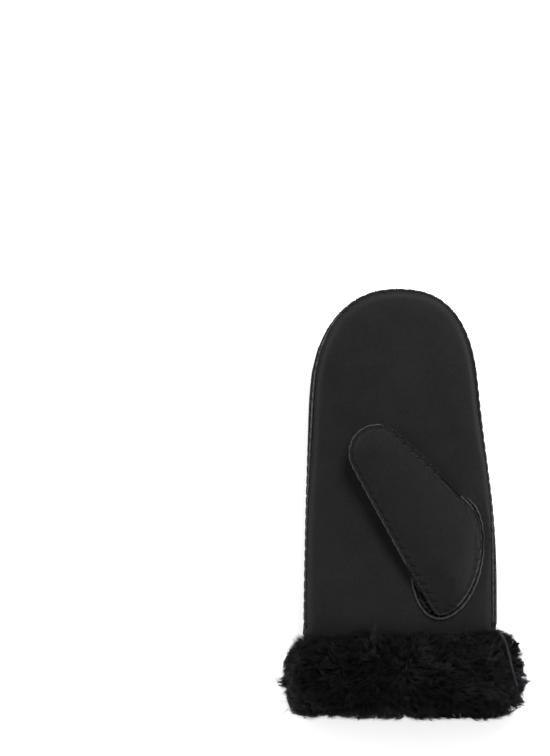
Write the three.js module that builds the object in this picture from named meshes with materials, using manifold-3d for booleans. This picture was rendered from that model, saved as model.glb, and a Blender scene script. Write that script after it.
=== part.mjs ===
// A right-hand shearling mitten, lying palm up. Suede leather is outside, and the cuff is turned
// up to show its fur. Every seam is an outseam: two raw leather edges stand up side by side.
// X runs from the little finger to the thumb side, Y from the cuff to the fingertips, and Z is up.
// The mitten rests on z = 0, with the origin under the middle of its box. Sizes are in millimetres.

import * as THREE from "three";
import Module from "manifold-3d";
import { mergeVertices } from "three/addons/utils/BufferGeometryUtils.js";

// Hand
const handLength = 250; // from the opening to the seam at the fingertips
const handWidth = 110; // from seam to seam, at the widest
const tipLength = 66; // the rounded end, along the hand
const tipMiddle = -2.4; // the fingertips' middle, from the wrist's middle
const palmRise = 18; // the palm's crown above the side seam
const backDrop = 16.5; // the back's lowest face below the side seam
const wristLift = 7.5; // fur pressed under the wrist holds it off the table

// Leather and outseams
const leather = 1.4;
const seamGap = 0.4; // between the two leathers where the stitches pull them together
const edgeWidth = 3; // from the stitches to the raw edges
const edgeFlare = 0.8; // how far each raw edge leans away from the other

// Thumb hole in the palm, an oval
const holeAcross = 28.3; // its middle, from the wrist's middle
const holeAlong = 91.9; // its middle, from the opening
const holeWidth = 43;
const holeLength = 76;
const holeTurn = 12; // degrees, its top leaning away from the little finger

// Thumb
const thumbReach = 75.7; // from the hole's middle to the middle of the thumb's round tip
const thumbTurn = 34.4; // degrees, leaning over the palm
const thumbTipRadius = 17; // to the raw edge
const thumbLift = 11; // the tip's seam above the palm
const thumbCrown = 20; // the tip's highest face above the palm
const rimHeight = 2.8; // the turned-up rim round the hole
const foldDepth = 3.5; // the crotch fold, inwards from the hole's seam

// Fur cuff
const cuffHeight = 45; // up from the opening
const furDepth = 13; // the packed fur outside the leather
const furUnder = 4; // the packed fur below the opening
const liningDepth = 5; // the fur inside the opening
const liningHeight = 25;
const cuffGap = 0.55; // between fur and leather
const cuffSplit = 0.4; // between the cuff's halves at the side seams
const lockRadius = 5.5; // a lock of fur at its root
const lockHeight = 2.6; // how far a lock stands out of the packed fur
const lockLength = 11; // how far its tip leans along the fur

// Sections of the hand. at is a share of handLength, left and right are shares of half of
// handWidth, rise, drop and lift are shares of palmRise, backDrop and wristLift, edge is a share of
// edgeWidth, and the tilts turn the raw edges up from the horizontal, in degrees.
const handSections = [
  { at: 0.0, left: 1.011, right: 0.99, rise: 0.93, drop: 0.94, lift: 1.0, edge: 0, tiltLeft: 20, tiltRight: 54 },
  { at: 0.186, left: 1.011, right: 0.99, rise: 0.93, drop: 0.94, lift: 1.0, edge: 0, tiltLeft: 20, tiltRight: 54 },
  { at: 0.205, left: 1.009, right: 0.99, rise: 0.94, drop: 0.95, lift: 0.92, edge: 1, tiltLeft: 20, tiltRight: 54 },
  { at: 0.293, left: 1.003, right: 0.99, rise: 0.98, drop: 0.98, lift: 0.5, edge: 1, tiltLeft: 20, tiltRight: 54 },
  { at: 0.394, left: 0.994, right: 0.98, rise: 1.0, drop: 1.0, lift: 0.13, edge: 1, tiltLeft: 20, tiltRight: 46 },
  { at: 0.495, left: 0.983, right: 0.944, rise: 1.0, drop: 1.0, lift: 0.0, edge: 1, tiltLeft: 24, tiltRight: 18 },
  { at: 0.596, left: 0.97, right: 0.886, rise: 1.0, drop: 1.0, lift: 0.0, edge: 1, tiltLeft: 34, tiltRight: 8 },
  { at: 0.737, left: 0.95, right: 0.806, rise: 0.97, drop: 0.98, lift: 0.0, edge: 1, tiltLeft: 52, tiltRight: 8 },
  { at: 0.879, left: 0.94, right: 0.777, rise: 0.92, drop: 0.95, lift: 0.0, edge: 1, tiltLeft: 44, tiltRight: 8 },
  { at: 1.0, left: 0.93, right: 0.765, rise: 0.88, drop: 0.93, lift: 0.0, edge: 1, tiltLeft: 6, tiltRight: 6 },
];

// The thumb's free edge, from the bottom of the hole (0) round the tip to its upper end (1).
// lift is a share of thumbLift above the palm, and tilt turns the raw edges up, in degrees.
const thumbEdge = [
  { at: 0.0, lift: 0.12, tilt: 60 },
  { at: 0.08, lift: 0.42, tilt: 40 },
  { at: 0.2, lift: 0.75, tilt: 24 },
  { at: 0.45, lift: 0.98, tilt: 14 },
  { at: 0.62, lift: 1.0, tilt: 10 },
  { at: 0.8, lift: 0.85, tilt: 12 },
  { at: 0.92, lift: 0.5, tilt: 36 },
  { at: 1.0, lift: 0.12, tilt: 60 },
];

// The thumb's crest along its spine, from the hole to the tip: a share of thumbCrown above the palm.
const thumbCrest = [
  { at: 0.0, crown: 0.7 },
  { at: 0.35, crown: 0.9 },
  { at: 0.7, crown: 1.0 },
  { at: 1.0, crown: 0.97 },
];

// The cuff's section. out is in shares of furDepth outside the leather or of liningDepth inside it,
// and up is in shares of cuffHeight above the opening, of furUnder below it, or, inside, of liningHeight.
const cuffOutside = [
  { out: 0.22, up: 1.0 },
  { out: 0.6, up: 0.96 },
  { out: 0.93, up: 0.76 },
  { out: 1.0, up: 0.48 },
  { out: 0.92, up: 0.2 },
];
const cuffUnder = [
  { out: 0.62, down: 0.3 },
  { out: 0.05, down: 1.0 },
];
const cuffInside = [
  { out: 0.75, up: -0.1 },
  { out: 1.0, up: 0.22 },
  { out: 0.9, up: 0.8 },
  { out: 0.45, up: 1.0 },
];

// How the fur of each half swells round the wrist, as a share of furDepth, and where its top is, as
// a share of cuffHeight: turn is in degrees, from the thumb side (0) over the palm (90) to the little
// finger (180) and under the back (270).
const cuffSwell = {
  front: [
    { turn: 0, swell: 0.95, top: 1.0 },
    { turn: 45, swell: 0.96, top: 1.0 },
    { turn: 90, swell: 1.0, top: 1.0 },
    { turn: 145, swell: 0.95, top: 0.98 },
    { turn: 175, swell: 0.86, top: 0.88 },
    { turn: 360, swell: 0.95, top: 1.0 },
  ],
  back: [
    { turn: 0, swell: 1.32, top: 1.02 },
    { turn: 20, swell: 1.32, top: 1.02 },
    { turn: 160, swell: 0.92, top: 0.86 },
    { turn: 200, swell: 0.92, top: 0.88 },
    { turn: 270, swell: 0.9, top: 1.0 },
    { turn: 325, swell: 1.3, top: 1.02 },
    { turn: 345, swell: 1.38, top: 1.02 },
    { turn: 360, swell: 1.32, top: 1.02 },
  ],
};

const palmRoundness = 2.6; // exponents of the superellipses that round the panels
const backRoundness = 3.2;
const tipRoundness = { left: 2.25, right: 2.6 };
const backPress = 1.12; // the back is pressed flat where it rests, by this much of its drop
const seamHalf = (leather + seamGap) / 2;
const kneeOut = edgeWidth / 3;
const handHalf = handWidth / 2;
const tipStart = handLength - tipLength;

const material = (name, color, roughness) =>
  new THREE.MeshStandardMaterial({ name, color, roughness, metalness: 0 });
const suede = material("black suede", 0x26262a, 0.9);
const fur = material("black fur", 0x101012, 0.95);

const wasm = await Module();
wasm.setup();

const toRadians = THREE.MathUtils.degToRad;
const mix = THREE.MathUtils.lerp;

// A smooth curve through one column of a table, read at x.
function readTable(table, key, column, x) {
  const last = table.length - 1;
  if (x <= table[0][key]) return table[0][column];
  if (x >= table[last][key]) return table[last][column];
  const i = table.findIndex((row, n) => n < last && x < table[n + 1][key]);
  const slope = (a, b) => (table[b][column] - table[a][column]) / (table[b][key] - table[a][key]);
  const span = table[i + 1][key] - table[i][key];
  const t = (x - table[i][key]) / span;
  const chord = slope(i, i + 1);
  const tangent = (a, b) => {
    const near = slope(a, b);
    return near * chord <= 0 ? 0 : Math.sign(chord) * Math.min(Math.abs(near + chord) / 2, 2 * Math.abs(chord));
  };
  const start = i > 0 ? tangent(i - 1, i) : chord;
  const end = i + 1 < last ? tangent(i + 1, i + 2) : chord;
  const [t2, t3] = [t * t, t * t * t];
  return (
    (2 * t3 - 3 * t2 + 1) * table[i][column] +
    (t3 - 2 * t2 + t) * span * start +
    (3 * t2 - 2 * t3) * table[i + 1][column] +
    (t3 - t2) * span * end
  );
}
const hand = (column, y) => readTable(handSections, "at", column, y / handLength);

// A rounded pillow's height at a share q of the way from its crest to its edge.
const dome = (q, roundness) => Math.pow(Math.max(0, 1 - Math.pow(Math.min(q, 1), roundness)), 1 / roundness);

// The side seam's own outline and height. way is -1 on the little-finger side and 1 on the thumb side.
const sideOf = (y, way) => way * handHalf * hand(way < 0 ? "left" : "right", y);
const tiltOf = (y, way) => toRadians(hand(way < 0 ? "tiltLeft" : "tiltRight", y));
const seamZ = (y) => leather / 2 + wristLift * hand("lift", y) + backDrop * hand("drop", y);
const palmInset = (y, way) => leather / 2 + edgeWidth * 0.8 * Math.sin(tiltOf(y, way));

// The share of the way from the hand's crest line to its edge, for an edge taken in by inset.
function edgeShare(x, y, inset) {
  const way = x < tipMiddle ? -1 : 1;
  const across = Math.abs(x - tipMiddle) / (Math.abs(sideOf(y, way) - tipMiddle) - inset(y, way));
  const along = Math.max(0, y - tipStart) / (tipLength - inset(y, way));
  const roundness = way < 0 ? tipRoundness.left : tipRoundness.right;
  return Math.pow(Math.pow(across, roundness) + Math.pow(along, roundness), 1 / roundness);
}
const palmZ = (x, y) =>
  seamZ(y) + seamHalf + palmRise * hand("rise", y) * dome(edgeShare(x, y, palmInset), palmRoundness);
const backZ = (x, y) =>
  Math.max(
    leather / 2 + wristLift * hand("lift", y),
    seamZ(y) - seamHalf - backPress * backDrop * hand("drop", y) * dome(edgeShare(x, y, () => 0), backRoundness),
  );

// The seam's outline, from the wrist up the little-finger side, round the tips and down to the wrist.
const sideStops = [0, 0.1, 0.186, 0.205, 0.235, 0.265, 0.295, 0.325, 0.36, 0.4, 0.44, 0.48, 0.52, 0.59, 0.66];
const tipSteps = 14;
function handOutline() {
  const points = sideStops.map((at) => ({ x: sideOf(at * handLength, -1), y: at * handLength, way: -1 }));
  for (let i = 0; i <= tipSteps; i++) {
    const turn = Math.PI * (1 - i / tipSteps);
    const way = turn > Math.PI / 2 ? -1 : 1;
    const roundness = way < 0 ? tipRoundness.left : tipRoundness.right;
    const y = tipStart + tipLength * Math.pow(Math.sin(turn), 2 / roundness);
    const width = Math.pow(Math.abs(Math.cos(turn)), 2 / roundness);
    points.push({ x: mix(tipMiddle, sideOf(y, way), width), y, way });
  }
  for (const at of sideStops.toReversed())
    points.push({ x: sideOf(at * handLength, 1), y: at * handLength, way: 1 });
  return withNormals(points, false);
}

// Adds each outline point's unit normal in the plane, pointing away from the panel. The outline
// runs clockwise, seen from above.
function withNormals(points, closed) {
  const count = points.length;
  const at = (i) => (closed ? points[(i + count) % count] : points[Math.min(Math.max(i, 0), count - 1)]);
  return points.map((p, i) => {
    const along = new THREE.Vector2(at(i + 1).x - at(i - 1).x, at(i + 1).y - at(i - 1).y).normalize();
    return { ...p, normal: new THREE.Vector2(-along.y, along.x) };
  });
}

// A point beside an outline point: out along its normal, and at height z.
const beside = (p, out, z) => new THREE.Vector3(p.x + p.normal.x * out, p.y + p.normal.y * out, z);

// The raw edge and the stitched knee of one leather of an outseam. side is 1 for the leather on the
// palm's side and -1 for the other, and the seam stands at tilt above the horizontal.
function rawEdge(p, z, tilt, width, side) {
  const place = (out, off) =>
    beside(p, out * Math.cos(tilt) - off * Math.sin(tilt), z + out * Math.sin(tilt) + off * Math.cos(tilt));
  return [
    place(edgeWidth * width, side * (seamHalf + edgeFlare) * (width > 0 ? 1 : 0)),
    place(kneeOut * width, side * seamHalf * (width > 0 ? 1 : 0)),
  ];
}

// Triangles between rows of points. A closed row joins its last point to its first.
function strips(rows, closed = false) {
  const triangles = [];
  for (let r = 0; r + 1 < rows.length; r++) {
    const count = rows[r].length;
    for (let i = 0; i < (closed ? count : count - 1); i++) {
      const next = (i + 1) % count;
      const [a, b, c, d] = [rows[r][i], rows[r][next], rows[r + 1][next], rows[r + 1][i]];
      if (a.distanceTo(c) <= b.distanceTo(d)) triangles.push([a, b, c], [a, c, d]);
      else triangles.push([a, b, d], [b, c, d]);
    }
  }
  return triangles;
}

// Triangles that fill a long closed row of points, from its one side to the other. Each point's share
// of the way along the row's length says how far along it lies, from 0 at one end to 1 at the other.
function bridged(row, shares) {
  const count = row.length;
  const triangles = [];
  let ahead = shares.indexOf(Math.min(...shares));
  let behind = ahead + count;
  const at = (i) => row[i % count];
  const share = (i) => shares[i % count];
  while (behind - ahead > 2) {
    if (share(ahead + 1) <= share(behind - 1)) triangles.push([at(behind), at(ahead), at(++ahead)]);
    else triangles.push([at(behind), at(ahead), at(--behind)]);
  }
  return [...triangles, [at(behind), at(ahead), at(ahead + 1)]];
}

// Evens out the closed rows of points between the first and the last, which stay. heightAt gives each
// place its height.
function evenOut(rows, rounds, heightAt) {
  for (let round = 0; round < rounds; round++) {
    for (let r = 1; r + 1 < rows.length; r++) {
      rows[r].forEach((p, i) => {
        const count = rows[r].length;
        const around = [rows[r - 1][i], rows[r + 1][i], rows[r][(i + 1) % count], rows[r][(i + count - 1) % count]];
        const x = around.reduce((sum, q) => sum + q.x, 0) / 4;
        const y = around.reduce((sum, q) => sum + q.y, 0) / 4;
        p.set(x, y, heightAt(x, y));
      });
    }
  }
}

// Leather of an even thickness about a middle surface: two faces, joined along every open edge.
function sheet(triangles, thickness) {
  const points = [];
  const found = new Map();
  const indexOf = (p) => {
    const key = [p.x, p.y, p.z].map((v) => Math.round(v * 1e3)).join();
    if (!found.has(key)) found.set(key, points.push(p) - 1);
    return found.get(key);
  };
  const faces = triangles.map((t) => t.map(indexOf)).filter(([a, b, c]) => a !== b && b !== c && c !== a);
  const normals = points.map(() => new THREE.Vector3());
  const open = new Map();
  for (const [a, b, c] of faces) {
    const corners = [a, b, c];
    const cross = new THREE.Vector3()
      .subVectors(points[b], points[a])
      .cross(new THREE.Vector3().subVectors(points[c], points[a]))
      .normalize();
    corners.forEach((v, i) => {
      const toNext = new THREE.Vector3().subVectors(points[corners[(i + 1) % 3]], points[v]);
      const toLast = new THREE.Vector3().subVectors(points[corners[(i + 2) % 3]], points[v]);
      normals[v].addScaledVector(cross, toNext.angleTo(toLast));
      const [from, to] = [v, corners[(i + 1) % 3]];
      if (!open.delete(to + "," + from)) open.set(from + "," + to, [from, to]);
    });
  }
  const count = points.length;
  const position = new Float32Array(count * 6);
  points.forEach((p, i) => {
    const off = normals[i].normalize().multiplyScalar(thickness / 2);
    position.set([p.x + off.x, p.y + off.y, p.z + off.z], i * 3);
    position.set([p.x - off.x, p.y - off.y, p.z - off.z], (count + i) * 3);
  });
  const index = [];
  for (const [a, b, c] of faces) index.push(a, b, c, count + a, count + c, count + b);
  for (const [a, b] of open.values()) index.push(b, a, count + a, b, count + a, count + b);
  return new THREE.BufferGeometry().setAttribute("position", new THREE.BufferAttribute(position, 3)).setIndex(index);
}

const outline = handOutline();
const seam = outline.map((p) => ({ ...p, z: seamZ(p.y), tilt: tiltOf(p.y, p.way), edge: hand("edge", p.y) }));

// Back of the hand: from the raw edge, round the side and in to the crest line.
const backTurns = [0, 12, 28, 45, 62, 78, 90];
const backShare = (turn) => (turn === 90 ? 0 : Math.pow(Math.cos(toRadians(turn)), 2 / backRoundness));
function backPanel() {
  const edges = seam.map((p) => rawEdge(p, p.z, p.tilt, p.edge, -1));
  const rows = [seam.map((p, i) => (p.edge > 0 ? edges[i][0] : beside(p, 0, p.z - seamHalf)))];
  rows.push(seam.map((p, i) => (p.edge > 0 ? edges[i][1] : beside(p, 0, p.z - seamHalf))));
  for (const turn of backTurns) {
    const share = backShare(turn);
    rows.push(
      seam.map((p) => {
        const x = mix(tipMiddle, p.x, share);
        const y = mix(Math.min(p.y, tipStart), p.y, share);
        return new THREE.Vector3(x, y, turn === 0 ? p.z - seamHalf : backZ(x, y));
      }),
    );
  }
  return sheet(strips(rows), leather);
}

// The thumb hole's oval, grown by out, at a turn counted from its thumb side over its top.
function holePoint(turn, out) {
  const lean = toRadians(holeTurn);
  const across = (holeWidth / 2 + out) * Math.cos(turn);
  const along = (holeLength / 2 + out) * Math.sin(turn);
  return new THREE.Vector2(
    holeAcross + across * Math.cos(lean) + along * Math.sin(lean),
    holeAlong - across * Math.sin(lean) + along * Math.cos(lean),
  );
}
const holeMiddle = new THREE.Vector2(holeAcross, holeAlong);

// The turn at which the hole's oval comes nearest to a point.
function nearestTurn(p) {
  let [best, step] = [0, Math.PI / 36];
  const distance = (turn) => holePoint(turn, 0).distanceTo(new THREE.Vector2(p.x, p.y));
  for (let k = 1; k < 72; k++) if (distance(k * step) < distance(best)) best = k * step;
  for (; step > 1e-4; step /= 2) {
    for (const turn of [best - step, best + step]) if (distance(turn) < distance(best)) best = turn;
  }
  return best;
}

// The hole's seam in section: out from the oval and up from the palm, for the palm's own leather
// (the rim) and for the thumb's leathers (inside the rim).
const rimSection = {
  root: { out: -0.5, up: 0.2 },
  knee: { out: -0.9, up: 0.42 * rimHeight },
  edge: { out: -0.1, up: rimHeight },
};
const insideRim = rimSection.knee.out - leather - seamGap - 0.15;
const thumbSection = {
  root: { out: insideRim - 0.5, up: -0.4 },
  knee: { out: insideRim, up: 0.38 * rimHeight },
  edge: { out: insideRim - 0.8, up: 0.94 * rimHeight },
};
function onRim(turn, place) {
  const p = holePoint(turn, place.out);
  return new THREE.Vector3(p.x, p.y, palmZ(p.x, p.y) + place.up);
}

// Palm: a band along the side seam, then rings that close in on the thumb hole.
const bandInsets = [0, 0.6, 2.2, 5.5, 11, 19];
function palmPanel() {
  const edges = seam.map((p) => rawEdge(p, p.z, p.tilt, p.edge, 1));
  const inset = seam.map((p) => palmInset(p.y, p.way));
  const root = seam.map((p, i) => beside(p, -inset[i], p.z + seamHalf));
  const band = [
    seam.map((p, i) => (p.edge > 0 ? edges[i][0] : root[i])),
    seam.map((p, i) => (p.edge > 0 ? edges[i][1] : root[i])),
  ];
  const room = seam.map((p, i) => {
    let nearest = Infinity;
    for (let k = 0; k < 72; k++) {
      const h = holePoint((k * Math.PI) / 36, 1.2);
      nearest = Math.min(nearest, Math.hypot(h.x - root[i].x, h.y - root[i].y));
    }
    const aboveHole = p.way > 0 && p.y > holeAlong;
    const width = Math.min(0.6 * nearest, aboveHole ? 2 + 0.16 * nearest : Infinity, bandInsets.at(-1));
    return width / bandInsets.at(-1);
  });
  for (const step of bandInsets) {
    band.push(
      seam.map((p, i) => {
        if (step === 0) return root[i];
        const q = beside(p, -inset[i] - step * room[i], 0);
        return q.setZ(palmZ(q.x, q.y));
      }),
    );
  }
  const inner = band.at(-1);
  const [first, last] = [inner[0], inner.at(-1)];
  const opening = [];
  for (let k = 1; k < openingSteps; k++) {
    const x = mix(last.x, first.x, k / openingSteps);
    opening.push(new THREE.Vector3(x, 0, palmZ(x, 0)));
  }
  const loop = [...inner, ...opening];
  const nearest = unwrap(loop.map(nearestTurn));
  const evenly = 0.35;
  const turns = loop.map((p, i) => mix(nearest[i], nearest[0] - (2 * Math.PI * i) / loop.length, evenly));
  const rings = [loop];
  for (const share of [0.3, 0.6, 0.85]) {
    rings.push(
      loop.map((p, i) => {
        const h = holePoint(turns[i], 1.2);
        const [x, y] = [mix(p.x, h.x, share), mix(p.y, h.y, share)];
        return new THREE.Vector3(x, y, palmZ(x, y));
      }),
    );
  }
  rings.push(turns.map((turn) => onRim(turn, { out: 1.2, up: 0 })));
  evenOut(rings, 30, palmZ);
  rings.push(turns.map((turn) => onRim(turn, rimSection.root)));
  rings.push(turns.map((turn) => onRim(turn, rimSection.knee)));
  rings.push(turns.map((turn) => onRim(turn, rimSection.edge)));
  return sheet([...strips(band), ...strips(rings, true)], leather);
}

// Angles that run on without a jump of a full turn.
function unwrap(angles) {
  const out = [angles[0]];
  for (const a of angles.slice(1)) {
    const before = out.at(-1);
    out.push(a - 2 * Math.PI * Math.round((a - before) / (2 * Math.PI)));
  }
  return out;
}

// Thumb outline: along the hole's seam on the thumb side, then straight to the round tip and back.
const seamTurnLow = toRadians(-89); // on the hole's oval, where the free edge starts at the bottom
const seamTurnHigh = toRadians(72); // where it ends, at the upper end
const baseSteps = 14;
const straightSteps = 7;
const arcSteps = 9;
const thumbTip = new THREE.Vector2(
  holeAcross - thumbReach * Math.sin(toRadians(thumbTurn)),
  holeAlong + thumbReach * Math.cos(toRadians(thumbTurn)),
);

// The angle, seen from the round tip's middle, at which a straight edge from a point meets the tip.
function tangentTurn(from, radius, way) {
  const away = new THREE.Vector2().subVectors(from, thumbTip);
  return Math.atan2(away.y, away.x) + way * Math.acos(radius / away.length());
}

// The thumb's free edge, from the bottom of the hole round the tip to its upper end, at its stitches.
function freeEdge() {
  const radius = thumbTipRadius - edgeWidth * 0.85;
  const low = holePoint(seamTurnLow, thumbSection.root.out);
  const high = holePoint(seamTurnHigh, thumbSection.root.out);
  const lowTurn = tangentTurn(low, radius, -1);
  const highTurn = tangentTurn(high, radius, 1);
  const onTip = (turn) =>
    new THREE.Vector2(thumbTip.x + radius * Math.cos(turn), thumbTip.y + radius * Math.sin(turn));
  const sweep = ((highTurn - lowTurn) % (2 * Math.PI) - 2 * Math.PI) % (2 * Math.PI);
  const points = [];
  for (let i = 0; i < straightSteps; i++) points.push(low.clone().lerp(onTip(lowTurn), i / straightSteps));
  for (let i = 0; i < arcSteps; i++) points.push(onTip(lowTurn + (sweep * i) / arcSteps));
  for (let i = 0; i <= straightSteps; i++) points.push(onTip(highTurn).lerp(high, i / straightSteps));
  const lengths = points.map((p, i) => (i ? p.distanceTo(points[i - 1]) : 0));
  const whole = lengths.reduce((sum, l) => sum + l, 0);
  let run = 0;
  return points.map((p, i) => {
    run += lengths[i];
    return { x: p.x, y: p.y, at: run / whole };
  });
}
const edgeLine = freeEdge();
const thumbEdgeAt = (column, at) => readTable(thumbEdge, "at", column, at);

// The thumb's whole outline, clockwise from above, with each point's seam height and tilt.
function thumbOutline() {
  const free = edgeLine.map((p) => ({
    ...p,
    z: palmZ(p.x, p.y) + thumbLift * thumbEdgeAt("lift", p.at),
    tilt: toRadians(thumbEdgeAt("tilt", p.at)),
    roundness: mix(1.5, 2.2, Math.min(1, 8 * Math.min(p.at, 1 - p.at))),
    free: true,
  }));
  const base = [];
  for (let i = 1; i < baseSteps; i++) {
    const turn = mix(seamTurnHigh, seamTurnLow, i / baseSteps);
    const p = onRim(turn, thumbSection.root);
    base.push({ x: p.x, y: p.y, z: p.z, turn, roundness: 1.5, free: false });
  }
  return withNormals([...free, ...base], true);
}
const thumbLine = thumbOutline();
const spineStart = new THREE.Vector2(holeAcross, holeAlong - holeLength * 0.13);

// The nearest place on the thumb's spine, with its share of the way from the hole to the tip.
function onSpine(p) {
  const whole = new THREE.Vector2().subVectors(thumbTip, spineStart);
  const to = new THREE.Vector2(p.x - spineStart.x, p.y - spineStart.y);
  const at = THREE.MathUtils.clamp(to.dot(whole) / whole.lengthSq(), 0, 1);
  const place = spineStart.clone().addScaledVector(whole, at);
  return { x: place.x, y: place.y, at };
}

function thumbFront() {
  const turns = [14, 30, 48, 68, 82];
  const raw = thumbLine.map((p) => (p.free ? rawEdge(p, p.z, p.tilt, 1, 1) : null));
  const rows = [
    thumbLine.map((p, i) => (p.free ? raw[i][0] : onRim(p.turn, thumbSection.edge))),
    thumbLine.map((p, i) => (p.free ? raw[i][1] : onRim(p.turn, thumbSection.knee))),
    thumbLine.map((p) => (p.free ? beside(p, -0.8, p.z + seamHalf) : new THREE.Vector3(p.x, p.y, p.z))),
  ];
  for (const turn of turns) {
    rows.push(
      thumbLine.map((p) => {
        const spine = onSpine(p);
        const top = palmZ(spine.x, spine.y) + thumbCrown * readTable(thumbCrest, "at", "crown", spine.at) - leather / 2;
        const share = Math.pow(Math.cos(toRadians(turn)), 2 / p.roundness);
        const foot = p.free ? p.z + seamHalf : p.z;
        return new THREE.Vector3(
          mix(spine.x, p.x, share),
          mix(spine.y, p.y, share),
          mix(foot, top, dome(share, p.roundness)),
        );
      }),
    );
  }
  const spine = new THREE.Vector2().subVectors(thumbTip, spineStart);
  const shares = rows.at(-1).map((p) => spine.dot(new THREE.Vector2(p.x - spineStart.x, p.y - spineStart.y)));
  return sheet([...strips(rows, true), ...bridged(rows.at(-1), shares)], leather);
}

// The thumb's underside: from the rim down into the crotch fold, back over the rim and out to the
// free edge.
function thumbBack() {
  const used = thumbLine.filter((p) => p.free && p.at > 0.07 && p.at < 0.9);
  const rows = [];
  const columns = used.map((p) => {
    const turn = mix(toRadians(272), seamTurnHigh + 0.09, p.at);
    const rim = holePoint(turn, 0);
    const towards = new THREE.Vector2().subVectors(holeMiddle, rim).normalize();
    const inwards = new THREE.Vector2(p.x - rim.x, p.y - rim.y).dot(towards);
    const fold = foldDepth + Math.max(0, inwards);
    const lowest = (x, y) => palmZ(x, y) + leather + seamGap;
    const place = (out, up) => onRim(turn, { out, up });
    const under = rimHeight + leather + seamGap;
    const root = thumbSection.root;
    const column = [
      place(thumbSection.edge.out, thumbSection.edge.up),
      place(thumbSection.knee.out, thumbSection.knee.up),
      place(root.out, root.up),
      place(root.out - fold * 0.5, root.up - 0.8),
      place(root.out - fold, 0.35 * under),
      place(root.out - fold * 0.75, under),
    ];
    const start = column.at(-1);
    const low = p.z - seamHalf;
    for (const share of [0.3, 0.6, 0.85, 0.97]) {
      const [x, y] = [mix(start.x, p.x, share), mix(start.y, p.y, share)];
      const clear = Math.hypot(x - rim.x, y - rim.y);
      const over = lowest(x, y) + rimHeight * Math.max(0, 1 - clear / (3 * rimHeight));
      const z = low - (low - start.z) * dome(share, 2.2);
      column.push(new THREE.Vector3(x, y, Math.min(Math.max(z, over), low)));
    }
    column.push(beside(p, 0, low));
    const raw = rawEdge(p, p.z, p.tilt, 1, -1);
    column.push(raw[1], raw[0]);
    return column;
  });
  for (let r = 0; r < columns[0].length; r++) rows.push(columns.map((column) => column[r]));
  return sheet(strips(rows), leather);
}

// The leather's middle surface round the wrist, from the thumb side's seam over the palm to the little
// finger's (the front), or back under the hand (the back). Each place has its outward normal.
const openingSteps = 7;
const palmSide = (way) => bandInsets.map((step) => sideOf(0, way) - way * (palmInset(0, way) + step));
function wristLine(half) {
  const [right, left] = [palmSide(1), palmSide(-1)];
  const across = Array.from({ length: openingSteps - 1 }, (_, k) =>
    mix(right.at(-1), left.at(-1), (k + 1) / openingSteps),
  );
  const palm = [...right, ...across, ...left.toReversed()].map((x) => new THREE.Vector2(x, palmZ(x, 0)));
  const under = [-1, 1].map((way) => backTurns.map((turn) => mix(tipMiddle, sideOf(0, way), backShare(turn))));
  const back = [...under[0], ...under[1].slice(0, -1).toReversed()].map((x) => new THREE.Vector2(x, backZ(x, 0)));
  const line = half === "front" ? palm : back;
  return line.map((p, i) => {
    const along = new THREE.Vector2().subVectors(line[Math.min(i + 1, line.length - 1)], line[Math.max(i - 1, 0)]);
    return { x: p.x, z: p.y, normal: new THREE.Vector2(along.y, -along.x).normalize() };
  });
}

// The cuff's section at one place of the wrist: each point's distance out from the leather and
// height up from the opening.
function cuffSection(place, half) {
  const turn = Math.atan2(place.z - seamZ(0), place.x - tipMiddle);
  const degrees = THREE.MathUtils.euclideanModulo(THREE.MathUtils.radToDeg(turn), 360);
  const deep = furDepth * readTable(cuffSwell[half], "turn", "swell", degrees);
  const high = cuffHeight * readTable(cuffSwell[half], "turn", "top", degrees);
  const clear = leather / 2 + cuffGap;
  const wave = 1 + 0.05 * Math.sin(7 * turn) + 0.03 * Math.sin(13 * turn + 1);
  const ragged = 1.2 * Math.sin(9 * turn) + 0.8 * Math.sin(17 * turn + 2);
  const flat = [
    [clear, high * 0.92],
    ...cuffOutside.map((row) => [clear + deep * row.out * wave, high * row.up + ragged * row.up ** 3]),
    ...cuffUnder.map((row) => [clear + deep * row.out, -furUnder * row.down]),
    ...cuffInside.map((row) => [-clear - liningDepth * row.out, liningHeight * row.up]),
    [-clear, liningHeight * 0.9],
    [-clear, -cuffGap],
    [clear, -cuffGap],
  ];
  const points = flat.map(([out, up]) => {
    return new THREE.Vector3(place.x + place.normal.x * out, up, Math.max(0, place.z + place.normal.y * out));
  });
  return { flat: flat.map(([out, up]) => new THREE.Vector2(out, up)), points };
}

// One half of the packed fur: a solid along the wrist between the side seams.
function furBody(half) {
  const way = half === "front" ? 1 : -1;
  const line = wristLine(half);
  const end = (place, side) => {
    const z = seamZ(0) + (way * cuffSplit) / 2;
    return { x: place.x, z, normal: new THREE.Vector2(side, 0) };
  };
  const places = [end(line[0], way), ...line.slice(1, -1), end(line.at(-1), -way)];
  const sections = places.map((place) => cuffSection(place, half));
  const triangles = strips(sections.map((s) => [...s.points, s.points[0]].toReversed()));
  const area = (corners, flat) => THREE.ShapeUtils.area(corners.map((i) => flat[i]));
  [sections[0], sections.at(-1)].forEach(({ flat, points }, end) => {
    const whole = THREE.ShapeUtils.area(flat) * (end ? -1 : 1);
    for (const corners of THREE.ShapeUtils.triangulateShape(flat, [])) {
      const face = corners.map((i) => points[i]);
      triangles.push(area(corners, flat) * whole > 0 ? face : face.toReversed());
    }
  });
  return { body: toSolid(triangles), sections };
}

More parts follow.
